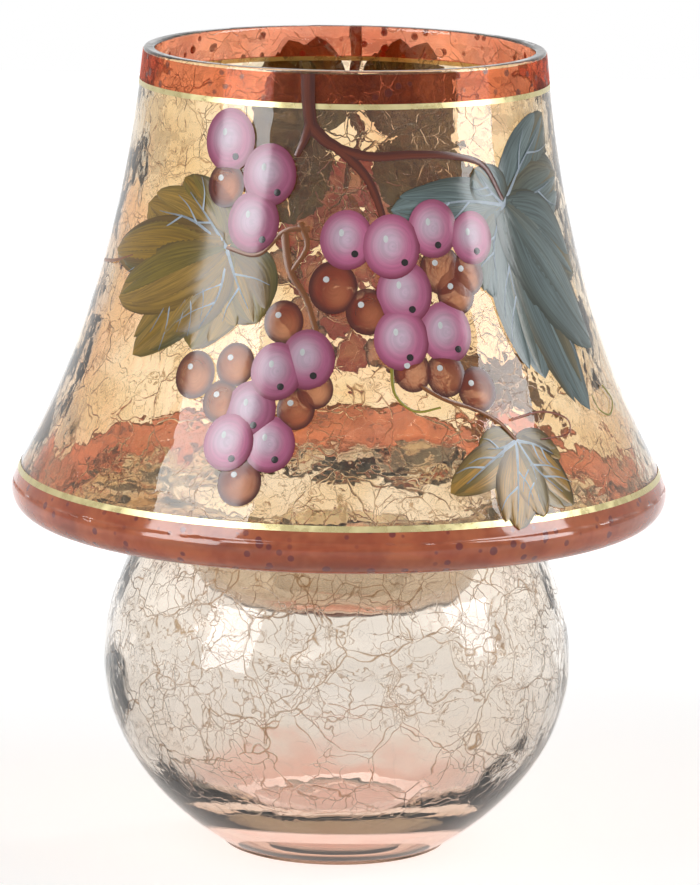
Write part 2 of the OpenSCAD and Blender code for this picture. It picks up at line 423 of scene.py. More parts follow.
# %% Turning an outline into a mesh
def turned(name, up, down, around, relief):
    """Turns a closed outline about the axis. relief gives each point's height along its normal."""
    outline = np.concatenate([up, down[1:] if np.allclose(up[-1], down[0]) else down])
    rows = outline[1:-1]
    along = np.gradient(rows, axis=0)
    along /= np.linalg.norm(along, axis=1, keepdims=True)
    normal = np.stack([along[:, 1], -along[:, 0]], axis=1)
    angle = np.linspace(0, math.tau, around, endpoint=False)
    spin = np.stack([np.cos(angle), np.sin(angle)], axis=1)

    def spun(half):
        return np.concatenate([half[:, None, :1] * spin[None],
                               np.repeat(half[:, None, 1:], around, axis=1)], axis=2)

    places, normals = spun(rows), spun(normal)
    heights = [[relief(row < len(up) - 1, Vector(p)) for p in places[row]] for row in range(len(rows))]
    places += normals * np.array(heights)[:, :, None]
    vertices = np.concatenate([places.reshape(-1, 3), [[0, 0, outline[0][1]], [0, 0, outline[-1][1]]]])
    first, last = len(vertices) - 2, len(vertices) - 1
    faces = []
    for ring in range(len(rows) - 1):
        for k in range(around):
            a, b = ring * around + k, ring * around + (k + 1) % around
            faces.append((a, b, b + around, a + around))
    end = (len(rows) - 1) * around
    for k in range(around):
        faces.append((first, (k + 1) % around, k))
        faces.append((last, end + k, end + (k + 1) % around))
    mesh = bpy.data.meshes.new(name)
    mesh.from_pydata(vertices.tolist(), [], faces)
    mesh.shade_smooth()
    skin = np.zeros(len(vertices), dtype=np.float32)
    skin[(len(up) - 1) * around:] = 1.0
    skin[first] = 0.0
    mesh.attributes.new("inner", "FLOAT", "POINT").data.foreach_set("value", skin)
    piece = bpy.data.objects.new(name, mesh)
    bpy.context.scene.collection.objects.link(piece)
    return piece


# %% Globe mesh
AROUND = 240
GLOBE_FACET_SLOPE = 0.018


def globe_piece():
    draw = random.Random(SEED)
    seeds = scatter(150, 0.012, SEAT_Z, lambda z: ball_r(max(z, 0.02), GLOBE_R), draw)
    facets = Facets(seeds, GLOBE_FACET_SLOPE, 0.004, draw)

    def relief(outer, point):
        # Facets fade towards the thick foot and the ground mouth
        foot_share = min(1.0, max(0.0, (point.z - 0.014) / 0.01))
        share = foot_share * min(1.0, max(0.0, (SEAT_Z - 0.004 - point.z) / 0.006))
        height = facets.height(point)
        return share * (min(0.0, height - 0.00015) if outer else height)

    return turned("globe_glass", *globe_outline(), AROUND, relief)


globe = globe_piece()
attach(globe, "globe")
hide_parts("globe_base")
print("globe:", len(globe.data.vertices), "vertices")

# %% Shade mesh
WALL = shade_wall()[::-1]
PAINT_ROOM = 0.00012


def wall_r(z):
    return float(np.interp(z, WALL[:, 1], WALL[:, 0]))


def shade_piece():
    draw = random.Random(SEED + 1)
    wall_facets = Facets(scatter(330, 0.094, 0.200, wall_r, draw), 0.014, 0.004, draw)
    spots = []
    for _ in range(90):
        far = math.sqrt(draw.uniform(0.040 ** 2, 0.079 ** 2))
        angle = draw.uniform(0, math.tau)
        spots.append(Vector((far * math.cos(angle), far * math.sin(angle), SEAT_Z + SHADE_GLASS)))
    floor_facets = Facets(spots, 0.16, 0.003, draw)

    def relief(outer, point):
        far = math.hypot(point.x, point.y)
        if point.z < 0.0925:
            if outer:
                return -PAINT_ROOM * min(1.0, max(0.0, (far - 0.066) / 0.002))
            share = min(1.0, max(0.0, (far - DISH_R - 0.003) / 0.003))
            return share * floor_facets.height(point)
        share = min(1.0, (point.z - 0.0925) / 0.006) * min(1.0, max(0.0, (0.1995 - point.z) / 0.006))
        height = wall_facets.height(point)
        return share * min(0.0, 0.5 * height - 0.00005) - PAINT_ROOM * (1 - share) if outer else share * height

    return turned("shade_glass", *shade_outline(), AROUND, relief)


shade = shade_piece()
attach(shade, "shade")
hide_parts("shade")
print("shade:", len(shade.data.vertices), "vertices")

# %% [markdown]
# The cracks themselves are far finer than the mesh, so they belong to the material. Voronoi
# cells give a network of borders, and bending the coordinates with noise first makes the
# borders wander as real cracks do. The group puts out a mask of crack lines and a height: a
# groove at each line, a slope of its own for each cell, and a fine wrinkle all over. Both
# glasses use it with their own values.

# %% Crackle group
def crackle_layer(tree, place, cell, width, slope, shift):
    """Cell borders as a mask, and each cell's own slope as a height."""
    small = math_node(tree, "DIVIDE", 1.0, cell)
    moved = vector_node(tree, "ADD", place, (shift, shift, shift))
    bend = noise(tree, moved, math_node(tree, "MULTIPLY", small, 1.1), 2.0, 0.6).outputs["Color"]
    bend = vector_node(tree, "SUBTRACT", bend, (0.5, 0.5, 0.5))
    scaled = node(tree, "VectorMath", {0: moved, "Scale": small}, operation="SCALE").outputs[0]
    bent = node(tree, "VectorMath", {0: bend, 1: (0.9, 0.9, 0.9), 2: scaled},
                operation="MULTIPLY_ADD").outputs[0]
    border = node(tree, "TexVoronoi", {"Vector": bent, "Scale": 1.0}, feature="DISTANCE_TO_EDGE").outputs["Distance"]
    cells = node(tree, "TexVoronoi", {"Vector": bent, "Scale": 1.0}, feature="F1").outputs
    edge = math_node(tree, "MULTIPLY", width, small)
    line = ease(tree, border, 0.0, edge, 1.0, 0.0)
    from_middle = vector_node(tree, "SUBTRACT", bent, cells["Position"])
    lean = vector_node(tree, "SUBTRACT", cells["Color"], (0.5, 0.5, 0.5))
    tilt = vector_node(tree, "DOT_PRODUCT", from_middle, lean)
    height = math_node(tree, "MULTIPLY", tilt, math_node(tree, "MULTIPLY", cell, slope))
    return line, height


crackle, given, gives = start_group(
    "Crackle",
    {"Vector": ("Vector", None), "Cell Size": ("Float", 0.014), "Crack Width": ("Float", 0.0003),
     "Open Cracks": ("Float", 0.5), "Facet Slope": ("Float", 0.1), "Groove Depth": ("Float", 0.0001),
     "Wrinkle Depth": ("Float", 0.00003)},
    {"Cracks": "Float", "Height": "Float"})
wide_line, wide_tilt = crackle_layer(crackle, given["Vector"], given["Cell Size"], given["Crack Width"],
                                     given["Facet Slope"], 0.13)
small_cell = math_node(crackle, "MULTIPLY", given["Cell Size"], 0.45)
fine_line, fine_tilt = crackle_layer(crackle, given["Vector"], small_cell,
                                     math_node(crackle, "MULTIPLY", given["Crack Width"], 0.7),
                                     given["Facet Slope"], 0.37)
patch = noise(crackle, given["Vector"], 70.0, 1.0).outputs["Fac"]
fade = noise(crackle, given["Vector"], 190.0, 2.0).outputs["Fac"]
least = math_node(crackle, "SUBTRACT", 0.70, math_node(crackle, "MULTIPLY", given["Open Cracks"], 0.4))
wide_line = math_node(crackle, "MULTIPLY", wide_line,
                      ease(crackle, fade, math_node(crackle, "SUBTRACT", least, 0.12), least))
fine_line = math_node(crackle, "MULTIPLY", fine_line,
                      ease(crackle, patch, least, math_node(crackle, "ADD", least, 0.06), 0.0, 0.9))
lines = math_node(crackle, "MAXIMUM", wide_line, fine_line)
wrinkle = noise(crackle, given["Vector"], 420.0, 1.5, 0.6).outputs["Fac"]
height = math_node(crackle, "ADD", wide_tilt, math_node(crackle, "MULTIPLY", fine_tilt, 0.6))
height = math_node(crackle, "SUBTRACT", height, math_node(crackle, "MULTIPLY", lines, given["Groove Depth"]))
height = math_node(crackle, "ADD", height, math_node(crackle, "MULTIPLY", wrinkle, given["Wrinkle Depth"]))
crackle.links.new(lines, gives["Cracks"])
crackle.links.new(height, gives["Height"])

# %% [markdown]
# Glass is a Principled shader with full transmission. Its colour comes from two things: a
# tint at each face, which can vary over the surface, and absorption inside the wall, which
# darkens the long way through the glass at the outline. Lamps reach what stands inside,
# because shadow rays meet a pale clear film in place of the glass.

# %% Glass material
CRACK_BROWN = (0.30, 0.15, 0.05, 1)


def finish_glass(tree, output, colour, cracks, height, roughness, film, absorbs, density, ior=1.48):
    bump = node(tree, "Bump", {"Strength": 1.0, "Distance": 1.0, "Height": height}).outputs[0]
    surface = node(tree, "BsdfPrincipled", {
        "Base Color": mix_colour(tree, cracks, colour, CRACK_BROWN),
        "Roughness": roughness, "IOR": ior, "Transmission Weight": 1.0, "Normal": bump}).outputs[0]
    clear = node(tree, "BsdfTransparent", {"Color": film}).outputs[0]
    shadow = node(tree, "LightPath").outputs["Is Shadow Ray"]
    tree.links.new(node(tree, "MixShader", {0: shadow, 1: surface, 2: clear}).outputs[0], output["Surface"])
    if density:
        inside = node(tree, "VolumeAbsorption", {"Color": absorbs, "Density": density}).outputs[0]
        tree.links.new(inside, output["Volume"])


# %% Globe glass
CHAMPAGNE = (0.895, 0.85, 0.79, 1)
ROSE = (0.87, 0.56, 0.50, 1)
ROSE_TOP, ROSE_FULL = 0.017, 0.004


def globe_glass():
    material, tree, output = start_material("globe_glass")
    place = node(tree, "TexCoord").outputs["Object"]
    z = node(tree, "SeparateXYZ", {0: place}).outputs["Z"]
    ragged = noise(tree, place, 120.0, 3.0).outputs["Fac"]
    z = math_node(tree, "ADD", z, math_node(tree, "MULTIPLY", math_node(tree, "SUBTRACT", ragged, 0.5), 0.008))
    rose = ease(tree, z, ROSE_TOP, ROSE_FULL)
    crackled = ease(tree, z, 0.013, 0.024)
    cloudy = noise(tree, place, 35.0, 2.0).outputs["Fac"]
    pale = mix_colour(tree, cloudy, CHAMPAGNE, (0.925, 0.895, 0.865, 1))
    colour = mix_colour(tree, rose, pale, ROSE)
    made = use_group(tree, crackle, {"Vector": place, "Cell Size": 0.016, "Crack Width": 0.00026,
                                     "Open Cracks": 0.60, "Facet Slope": 0.03, "Groove Depth": 0.00003,
                                     "Wrinkle Depth": 0.000003})
    cracks = math_node(tree, "MULTIPLY", made["Cracks"], crackled)
    height = math_node(tree, "MULTIPLY", made["Height"], crackled)
    roughness = math_node(tree, "MULTIPLY_ADD", cracks, 0.25, 0.015)
    finish_glass(tree, output, colour, cracks, height, roughness, (0.93, 0.89, 0.84, 1),
                 (0.62, 0.45, 0.22, 1), 22.0)
    return material


globe.data.materials.append(globe_glass())

# %% Shade glass
AMBER = (0.86, 0.72, 0.50, 1)
AMBER_PALE = (0.93, 0.84, 0.68, 1)
AMBER_PEACH = (0.90, 0.66, 0.46, 1)
DISH_CLEAR = (0.93, 0.88, 0.80, 1)


def shade_glass():
    material, tree, output = start_material("shade_glass")
    place = node(tree, "TexCoord").outputs["Object"]
    parts = node(tree, "SeparateXYZ", {0: place}).outputs
    flat = vector_node(tree, "LENGTH", node(tree, "CombineXYZ", {0: parts["X"], 1: parts["Y"]}).outputs[0])
    wall = ease(tree, parts["Z"], 0.0905, 0.097)
    not_dish = ease(tree, flat, 0.040, 0.045)
    cloudy = noise(tree, place, 60.0, 3.0).outputs["Fac"]
    streaky = noise(tree, place, 26.0, 2.0).outputs["Fac"]
    colour = mix_colour(tree, ease(tree, cloudy, 0.38, 0.62), AMBER, AMBER_PALE)
    colour = mix_colour(tree, ease(tree, streaky, 0.52, 0.70), colour, AMBER_PEACH)
    colour = mix_colour(tree, not_dish, DISH_CLEAR, colour)
    inner = node(tree, "Attribute", attribute_name="inner").outputs["Fac"]
    made = use_group(tree, crackle, {"Vector": place, "Cell Size": 0.014, "Crack Width": 0.00024,
                                     "Open Cracks": 0.38, "Facet Slope": 0.05, "Groove Depth": 0.00004,
                                     "Wrinkle Depth": 0.000010})
    cracks = math_node(tree, "MULTIPLY", made["Cracks"], wall)
    share = math_node(tree, "MULTIPLY", not_dish, math_node(tree, "MULTIPLY_ADD", inner, 0.8, 0.2))
    height = math_node(tree, "MULTIPLY", made["Height"], share)
    roughness = math_node(tree, "MULTIPLY_ADD", cracks, 0.2, 0.015)
    finish_glass(tree, output, colour, cracks, height, roughness, (0.90, 0.80, 0.66, 1),
                 (0.70, 0.42, 0.12, 1), 26.0)
    return material


shade.data.materials.append(shade_glass())
print("glass materials ready")

# %% [markdown]
# The decoration is enamel, painted on the outside of the shade. Each brush stroke is a thin
# sheet that follows the glass and lies a little above it, so that strokes can overlap as they
# do on the real shade. A place on the wall is given by its direction in degrees, counted from
# the front towards the right, and its height in millimetres.

# %% Places on the shade
def on_shade(turn, z, lift=0.0):
    z = z * MM
    step = 0.0005
    slope = (wall_r(z + step) - wall_r(z - step)) / (2 * step)
    length = math.hypot(1.0, slope)
    r = wall_r(z) + lift * MM / length
    angle = math.radians(turn)
    return Vector((r * math.sin(angle), -r * math.cos(angle), z - slope * lift * MM / length))


def beside(turn, z, across, up):
    """The place that lies some millimetres across and up the wall from another place."""
    r = wall_r(z * MM) / MM
    slope = (wall_r(z * MM + 0.0005) - wall_r(z * MM - 0.0005)) / 0.001
    return turn + math.degrees(across / r), z + up / math.hypot(1.0, slope)


def flat_offset(start, end):
    """How far, in millimetres along the wall, one place lies from another."""
    middle = (start[1] + end[1]) / 2 * MM
    slope = (wall_r(middle + 0.0005) - wall_r(middle - 0.0005)) / 0.001
    across = math.radians(end[0] - start[0]) * wall_r(middle) / MM
    return np.array([across, (end[1] - start[1]) * math.hypot(1.0, slope)])


STUDIO_LIGHT = 0.66


def paint(red, green, blue):
    """How much light a paint gives back, for the colour that it shows in this studio."""
    shown = [((c / 255 + 0.055) / 1.055) ** 2.4 if c > 10 else c / 255 / 12.92 for c in (red, green, blue)]
    return np.minimum(np.array(shown) / STUDIO_LIGHT, 0.95)


def smooth(value, low, high):
    share = np.clip((value - low) / (high - low), 0.0, 1.0)
    return share * share * (3 - 2 * share)


# %% Sheets of paint
class Sheet:
    """Collects strokes, discs and bands that share a material, and makes one piece of them."""

    def __init__(self, name):
        self.name = name
        self.vertices, self.faces, self.brush, self.colours = [], [], [], []

    def add(self, points, faces, brush, colours):
        start = len(self.vertices)
        self.vertices += [tuple(point) for point in points]
        self.faces += [tuple(start + index for index in face) for face in faces]
        self.brush += [tuple(pair) for pair in brush]
        self.colours += [tuple(colour) for colour in colours]

    def piece(self, material):
        mesh = bpy.data.meshes.new(self.name)
        mesh.from_pydata(self.vertices, [], self.faces)
        mesh.shade_smooth()
        layer = mesh.uv_layers.new(name="Brush")
        corner = np.empty(len(mesh.loops), dtype=np.int32)
        mesh.loops.foreach_get("vertex_index", corner)
        layer.data.foreach_set("uv", np.array(self.brush, dtype=np.float32)[corner].ravel())
        colour = mesh.color_attributes.new("Paint", "FLOAT_COLOR", "POINT")
        colour.data.foreach_set("color", np.array(self.colours, dtype=np.float32).ravel())
        mesh.materials.append(material)
        made = bpy.data.objects.new(self.name, mesh)
        bpy.context.scene.collection.objects.link(made)
        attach(made, "shade")
        print(self.name, len(self.faces), "faces")
        return made


def grid_faces(rows, columns, closed=False):
    faces = []
    for i in range(rows - 1):
        for j in range(columns if closed else columns - 1):
            k = (j + 1) % columns
            faces.append((i * columns + j, (i + 1) * columns + j, (i + 1) * columns + k, i * columns + k))
    return faces


def spine(points, steps):
    """A smooth line through the given places."""
    p = [np.array(point, float) for point in points]
    p = [2 * p[0] - p[1]] + p + [2 * p[-1] - p[-2]]
    line = []
    for i in range(1, len(p) - 2):
        for s in np.linspace(0, 1, steps, endpoint=False):
            line.append(0.5 * (2 * p[i] + (p[i + 1] - p[i - 1]) * s
                               + (2 * p[i - 1] - 5 * p[i] + 4 * p[i + 1] - p[i + 2]) * s * s
                               + (3 * p[i] - p[i - 1] - 3 * p[i + 1] + p[i + 2]) * s ** 3))
    line.append(p[-2])
    return np.array(line)


def stroke(sheet, points, width, lift, colour, draw, steps=10, columns=9, belly=0.1):
    """A brush stroke along a line. width and colour are functions of the place in the stroke."""
    line = spine(points, steps)
    rows = len(line)
    ways = np.gradient(np.array([flat_offset(line[0], place) for place in line]), axis=0)
    ways /= np.linalg.norm(ways, axis=1, keepdims=True)
    offset = draw.uniform(0, 50), draw.uniform(0, 50)
    places, brush, colours = [], [], []
    for i in range(rows):
        s = i / (rows - 1)
        half = width(s) / 2
        for j in range(columns):
            t = 2 * j / (columns - 1) - 1
            turn, z = beside(line[i][0], line[i][1], -ways[i][1] * t * half, ways[i][0] * t * half)
            places.append(on_shade(turn, z, lift + belly * (1 - t * t)))
            brush.append((s * 2 + offset[0], t + offset[1]))
            colours.append(colour(s, t))
    sheet.add(places, grid_faces(rows, columns), brush, colours)


def disc(sheet, turn, z, radius, dome, lift, colour, draw, rings=9, around=30, squash=1.0):
    """A round blob of paint, higher in the middle. colour is a function of the place in it."""
    offset = draw.uniform(0, 50), draw.uniform(0, 50)
    places, brush, colours = [on_shade(turn, z, lift + dome)], [offset], [colour(0.0, 0.0)]
    faces = []
    for ring in range(1, rings + 1):
        far = ring / rings
        for k in range(around):
            angle = math.tau * k / around
            x, y = far * math.cos(angle), far * math.sin(angle)
            place = beside(turn, z, x * radius, y * radius * squash)
            places.append(on_shade(*place, lift + dome * (1 - far * far)))
            brush.append((offset[0] + 1.2 * math.sin(angle / 2), offset[1] + far * 0.9))
            colours.append(colour(x, y))
    for k in range(around):
        faces.append((0, 1 + k, 1 + (k + 1) % around))
    for i, j, k, l in grid_faces(rings, around, closed=True):
        faces.append((i + 1, j + 1, k + 1, l + 1))
    sheet.add(places, faces, brush, colours)


# %% [markdown]
# One enamel material serves every stroke. The stroke's own colour is stored on its points,
# and the material adds what a brush leaves: streaks that run along the stroke, a slightly
# uneven gloss and fine ridges. The stored fourth value says how much the paint covers.

# %% Enamel
def enamel(name, streaks, roughness, bump_depth):
    material, tree, output = start_material(name)
    stored = node(tree, "Attribute", attribute_name="Paint")
    brush = node(tree, "UVMap", uv_map="Brush").outputs[0]
    stretched = node(tree, "Mapping", {"Vector": brush, "Scale": (1.2, 9.0, 1.0)}).outputs[0]
    hair = noise(tree, stretched, 1.0, 3.0, 0.6).outputs["Fac"]
    light = ease(tree, hair, 0.25, 0.75, 1.0 - streaks, 1.0 + streaks)
    scaled = node(tree, "VectorMath", {0: stored.outputs["Color"], "Scale": light}, operation="SCALE").outputs[0]
    bumped_height = math_node(tree, "MULTIPLY", hair, bump_depth)
    bump = node(tree, "Bump", {"Strength": 1.0, "Distance": 1.0, "Height": bumped_height}).outputs[0]
    surface = node(tree, "BsdfPrincipled", {
        "Base Color": scaled, "Roughness": ease(tree, hair, 0.2, 0.8, roughness, roughness + 0.12),
        "Normal": bump}).outputs[0]
    film = mix_colour(tree, 0.55, (1, 1, 1, 1), stored.outputs["Color"])
    clear = node(tree, "BsdfTransparent", {"Color": film}).outputs[0]
    mixed = node(tree, "MixShader", {0: stored.outputs["Alpha"], 1: clear, 2: surface}).outputs[0]
    tree.links.new(mixed, output["Surface"])
    return material


leaf_enamel = enamel("leaf_enamel", 0.40, 0.10, 0.00002)
fruit_enamel = enamel("fruit_enamel", 0.10, 0.10, 0.00001)
line_enamel = enamel("line_enamel", 0.25, 0.16, 0.00001)

# %% [markdown]
# A vine leaf is painted in strokes that fan out from its stalk. Every lobe gets one broad
# stroke and two shorter ones at its sides, dark at the edges and lighter along the middle.
# The strokes' colours are picked from a short palette with a fixed seed. Pale veins come last.

# %% Leaves
LEAVES = Sheet("vine_leaves")
VEINS = Sheet("leaf_veins")
OLIVE = [paint(117, 98, 28), paint(152, 118, 46), paint(92, 84, 30), paint(140, 106, 24), paint(104, 76, 26)]
TEAL = [paint(92, 108, 108), paint(84, 96, 90), paint(108, 124, 124), paint(66, 76, 66), paint(98, 90, 62)]
MOSS = [paint(80, 58, 10), paint(112, 90, 30), paint(162, 120, 44), paint(90, 74, 22), paint(140, 112, 50)]
FOREST = [paint(84, 58, 20), paint(93, 85, 56), paint(64, 60, 30), paint(72, 74, 48), paint(88, 66, 34)]
VEIN_BLUE = paint(178, 190, 202)


def leaf_width(wide):
    return lambda s: wide * math.sin(math.pi * (0.06 + 0.94 * min(1.0, s)) ** 0.9) ** 0.6 + 0.2


def stroke_colour(dark, light, draw):
    lean = draw.uniform(-0.35, 0.35)

    def colour(s, t):
        share = smooth(abs(t - lean), 1.25, 0.1) * smooth(s, -0.3, 0.5)
        mixed = dark * (1 - share) + light * share
        return (*(mixed * (1 - 0.35 * smooth(abs(t), 0.86, 1.0))), 1.0)

    return colour


def leaf(base, lobes, palette, lift, draw, veins=True):
    """lobes holds, for each lobe, the place of its tip and how wide it is in millimetres."""
    for number, (tip, wide) in enumerate(lobes):
        reach = flat_offset(base, tip)
        length = float(np.linalg.norm(reach))
        side = np.array([-reach[1], reach[0]]) / length
        level = lift + 0.05 * number
        for mark, (lean, share, thick) in enumerate(((0, 1.0, 1.0), (-0.24, 0.93, 0.5), (0.2, 0.88, 0.55),
                                                     (0, 0.97, 0.34))):
            dark, light = draw.sample(palette, 2)
            if dark.sum() > light.sum():
                dark, light = light, dark
            lean += draw.uniform(-0.06, 0.06)
            bend = reach * 0.5 * share + side * (lean * wide + draw.uniform(-0.8, 0.8))
            end = reach * share + side * lean * wide * 0.8
            points = [beside(*base, *(reach * 0.02)), beside(*base, *bend), beside(*base, *end)]
            stroke(LEAVES, points, leaf_width(wide * thick), level + 0.011 * mark,
                   stroke_colour(dark * 0.75, light, draw), draw)
    if veins:
        for tip, wide in lobes:
            reach = flat_offset(base, tip)
            length = float(np.linalg.norm(reach))
            side = np.array([-reach[1], reach[0]]) / length
            curl = draw.uniform(-0.10, 0.10) * length
            points = [base, beside(*base, *(reach * 0.4 + side * curl)), beside(*base, *(reach * 0.8))]
            vein(points, 0.9, lift + 0.36, draw)
            for share in (0.34, 0.52):
                lean = draw.choice((-1, 1))
                start = reach * share + side * curl * 0.9
                end = reach * (share + 0.30) + side * lean * wide * 0.34
                half = (start + end) / 2 + side * lean * 0.8
                vein([beside(*base, *start), beside(*base, *half), beside(*base, *end)], 0.5, lift + 0.36, draw)


def vein(points, wide, lift, draw):
    stroke(VEINS, points, lambda s: wide * (1 - 0.85 * s) + 0.06, lift,
           lambda s, t: (*(VEIN_BLUE * (1 - 0.25 * s)), 0.9 - 0.45 * s), draw, columns=3, belly=0.02)


# %% Front and back leaves
draw = random.Random(SEED + 2)
leaf((-29, 158), [((-46, 173), 15), ((-59, 166), 18), ((-34, 134), 19), ((-20, 141), 20), ((-50, 131), 16),
                  ((-43, 136), 18), ((-70, 152), 16), ((-61, 142), 18)], OLIVE, 0.10, draw)
leaf((44.6, 167.7), [((70, 188), 17), ((74, 172), 19), ((12, 168.5), 15), ((36, 177), 12), ((38, 146), 17),
                     ((47, 127), 18), ((58, 118), 17), ((71, 148), 20), ((69, 131), 19)], TEAL, 0.10, draw)
leaf((36.1, 113.5), [((27.5, 112), 8), ((46, 108.5), 10), ((21, 103), 10), ((45, 98), 12), ((32, 94.5), 12),
                     ((38, 96.5), 10)], MOSS, 0.10, draw)
leaf((188, 172), [((208, 178), 17), ((176, 188), 12), ((205, 192), 15), ((198, 197), 15), ((189, 198), 15),
                  ((210, 160), 16), ((196, 150), 16)], FOREST, 0.10, draw, veins=False)
leaf((166, 172), [((148, 177), 17), ((171, 194), 12), ((164, 198), 14), ((155, 197.5), 15), ((145, 190), 15),
                  ((143, 160), 16), ((157, 150), 16)], FOREST, 0.10, draw, veins=False)
leaf((142, 114), [((158, 104), 12), ((147, 96), 11), ((133, 98), 12), ((131, 108), 10)], MOSS, 0.10, draw, veins=False)
LEAVES.piece(leaf_enamel)
VEINS.piece(line_enamel)

# %% [markdown]
# Stems are long thin strokes that taper. The main stem starts at the rim, crosses the coral
# band and forks to both bunches and to the leaves. Tendrils are the same stroke, thinner.

# %% Stems and tendrils
STEMS = Sheet("vine_stems")
BARK = paint(66, 20, 10)
BARK_LIGHT = paint(108, 44, 20)
TENDRIL = paint(128, 118, 34)
TWIG = paint(110, 62, 24)
STEM_LINES = [
    ([(-10, 200), (-9.6, 193), (-8.6, 187)], 3.4, 3.0, BARK),
    ([(-9, 188), (-10.5, 184), (-12.3, 180.5)], 2.6, 1.2, BARK),
    ([(-9, 188), (-5, 184.5), (-1, 182.3), (5, 177), (8.1, 171.8), (10.1, 166)], 3.2, 1.6, BARK),
    ([(-2, 182.6), (6.9, 180.7), (18, 181), (29.1, 180.3), (39, 177.5), (44.6, 169)], 2.6, 1.2, BARK),
    ([(-8, 163.5), (-14.3, 162.7), (-20.6, 157), (-29, 158)], 1.4, 1.0, TWIG),
    ([(-14.3, 162.7), (-12.4, 153.9), (-8.2, 147.5), (-5.1, 139)], 2.0, 1.2, TWIG),
    ([(-10.5, 165), (-8.5, 159.5), (-12, 153.5)], 1.6, 1.0, TWIG),
    ([(-80, 148.5), (-70, 150), (-60.4, 152.7)], 1.0, 0.7, TWIG),
    ([(10.8, 132.4), (11.3, 125.6), (15.2, 121.7), (20.6, 122.3)], 0.9, 0.5, TENDRIL),
    ([(16.3, 127.7), (21.9, 124), (28.3, 121.3), (33, 118), (36.1, 113.7)], 1.2, 0.9, TWIG),
    ([(36, 118.3), (44.3, 119.1), (51, 116.5), (50, 113.2), (42.2, 113)], 0.6, 0.4, BARK_LIGHT),
    ([(69.3, 121.4), (72, 117.3), (68, 114.5), (63.9, 116.4), (62.8, 120.2)], 0.9, 0.4, TENDRIL),
    ([(177, 200.3), (176.6, 193), (177.5, 186), (177, 170), (179, 158)], 3.2, 1.6, BARK),
    ([(177.4, 187), (183, 180), (189, 171)], 2.0, 1.2, BARK),
    ([(177.4, 184), (171, 179), (165, 172)], 2.0, 1.2, BARK),
    ([(179, 158), (170, 140), (156, 122), (142, 114)], 1.4, 0.8, TWIG)]


def stem(points, wide_start, wide_end, colour, lift, draw):
    tint = BARK_LIGHT if colour is BARK else colour * 1.5

    def mixed(s, t):
        light = smooth(abs(t + 0.25), 0.7, 0.0)
        return (*(colour * (1 - light) + tint * light), 1.0)

    stroke(STEMS, points, lambda s: wide_start + (wide_end - wide_start) * s, lift, mixed, draw,
           steps=8, columns=5, belly=0.12)


for points, wide_start, wide_end, colour in STEM_LINES:
    stem(points, wide_start, wide_end, colour, 0.44, draw)
STEMS.piece(line_enamel)

# %% [markdown]
# A grape is a round dome of paint. The pink ones have a broad lavender light in the middle, a
# dark crescent round the edge, a small white glint at the upper left and a dark dot where the
# flower was. The brown ones are smaller and let some light through, as thin brown enamel does.

# %% Grapes
PINK_GRAPES = Sheet("pink_grapes")
BROWN_GRAPES = Sheet("brown_grapes")
DOTS = Sheet("grape_dots")
PINK, PINK_LIGHT, PINK_DEEP = paint(178, 94, 130), paint(200, 174, 190), paint(112, 28, 58)
BROWN, BROWN_LIGHT, BROWN_DEEP = paint(122, 50, 34), paint(168, 98, 66), paint(62, 12, 10)
BLACK, GLINT = paint(20, 12, 16), paint(222, 222, 228)
FRONT_PINK = [(-31.3, 183.3, 6.4), (-19.2, 175.8, 6.3), (-22.5, 164.5, 6.2), (-7, 133.4, 6.1), (-13.5, 130.4, 5.9),
              (-21.6, 113.7, 5.9), (-13.4, 113.9, 5.8), (-18.1, 121.4, 5.9), (1.1, 161.2, 6.0),
              (22.6, 163.5, 5.9), (33.1, 160.8, 5.4), (11.9, 159.6, 6.5), (23.7, 139.3, 6.3),
              (14.6, 148.9, 6.4), (13.3, 138.1, 6.3)]
FRONT_BROWN = [(-31.2, 172.6, 4.8), (-31.9, 128.1, 5.2), (-22.8, 131.3, 4.7), (-24.7, 122.7, 4.6), (-12.9, 141.8, 4.6),
               (-5.2, 126.7, 4.2), (-8.9, 122, 4.4), (-18.2, 105.1, 5.2), (-2, 150.1, 5.6), (5.8, 144.6, 4.9),
               (24, 153.8, 5.2), (30.5, 152.3, 4.6), (27.3, 148.3, 4.8), (15.3, 130.7, 4.4), (22.6, 129.7, 4.8),
               (29.3, 125.8, 4.9)]
BACK_PINK = [(187, 158, 6.2), (177, 160, 6.0), (168, 156, 6.1), (182, 148, 6.2), (172, 146, 5.9), (192, 146, 5.8),
             (178, 137, 6.1), (187, 134, 5.9), (169, 134, 5.8), (181, 124, 5.9), (173, 122, 5.7), (178, 111, 5.5)]
BACK_BROWN = [(196, 155, 4.8), (163, 146, 4.8), (195, 136, 4.6), (163, 137, 4.5), (189, 123, 4.6), (166, 124, 4.4),
              (185, 113, 4.4), (171, 111, 4.4)]


def pink_colour(draw):
    warm = draw.uniform(0.85, 1.1)

    def colour(x, y):
        far = math.hypot(x, y)
        light = smooth(math.hypot(x + 0.14, y - 0.12), 0.85, 0.12)
        deep = smooth(far, 0.72, 1.0) * (0.45 + 0.55 * smooth(0.75 * x - 0.66 * y, -0.6, 0.7))
        mixed = PINK * warm * (1 - light) + PINK_LIGHT * light
        return (*(mixed * (1 - deep) + PINK_DEEP * deep), 1.0)

    return colour


def brown_colour(draw):
    warm = draw.uniform(0.8, 1.15)

    def colour(x, y):
        far = math.hypot(x, y)
        light = smooth(math.hypot(x - 0.2, y + 0.25), 0.8, 0.1)
        deep = smooth(far, 0.62, 0.98)
        mixed = BROWN * warm * (1 - light) + BROWN_LIGHT * light
        return (*(mixed * (1 - deep) + BROWN_DEEP * deep), 0.66 + 0.3 * deep)

    return colour


def plain(colour):
    return lambda x, y: (*colour, 1.0)


